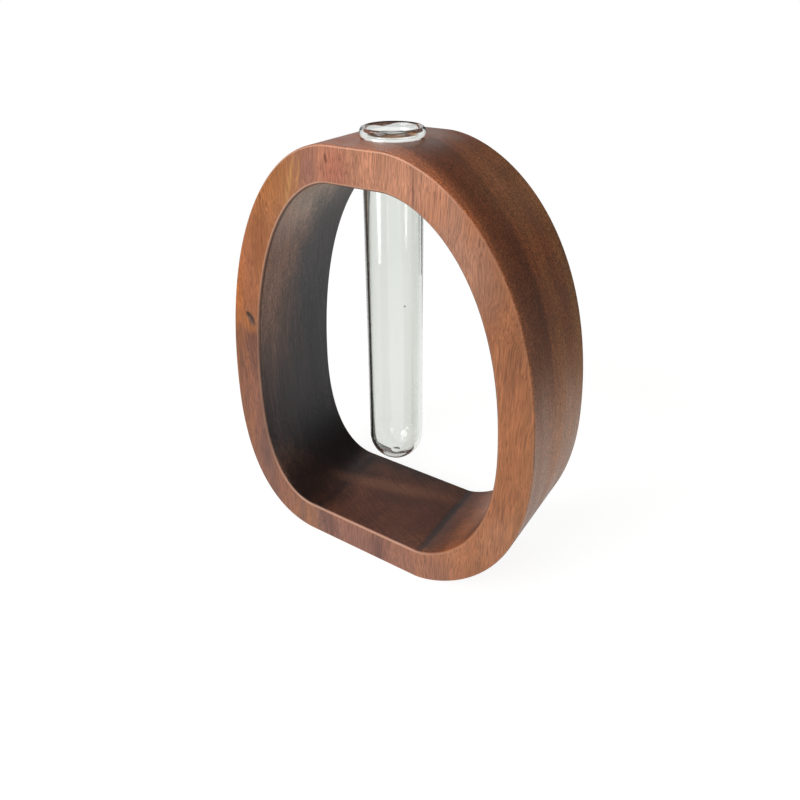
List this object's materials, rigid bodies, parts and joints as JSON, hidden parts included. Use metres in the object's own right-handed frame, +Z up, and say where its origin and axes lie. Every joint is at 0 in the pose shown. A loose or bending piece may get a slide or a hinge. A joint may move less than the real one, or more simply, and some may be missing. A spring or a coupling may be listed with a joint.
{
  "type": "test tube vase",
  "caption": "Standing wooden ring with a round-bottomed glass test tube hanging in a bore through its top, for a single stem.",
  "frame": {"origin": "middle of the ring's box at table level", "axes": "+Z up, +Y from the front face to the back, +X to the right seen from the front"},
  "size_m": [0.12, 0.04, 0.1532],
  "materials": {
    "oiled_wood": "satin oil",
    "clear_glass": "polished"
  },
  "bodies": {
    "ring": {"wood_frame": "oiled_wood"},
    "tube": {"test_tube": "clear_glass"}
  },
  "joints": [
    {"name": "tube_lift", "type": "slide", "parent": "ring", "child": "tube", "axis": [0, 0, 1], "range_m": [0, 0.125]}
  ]
}
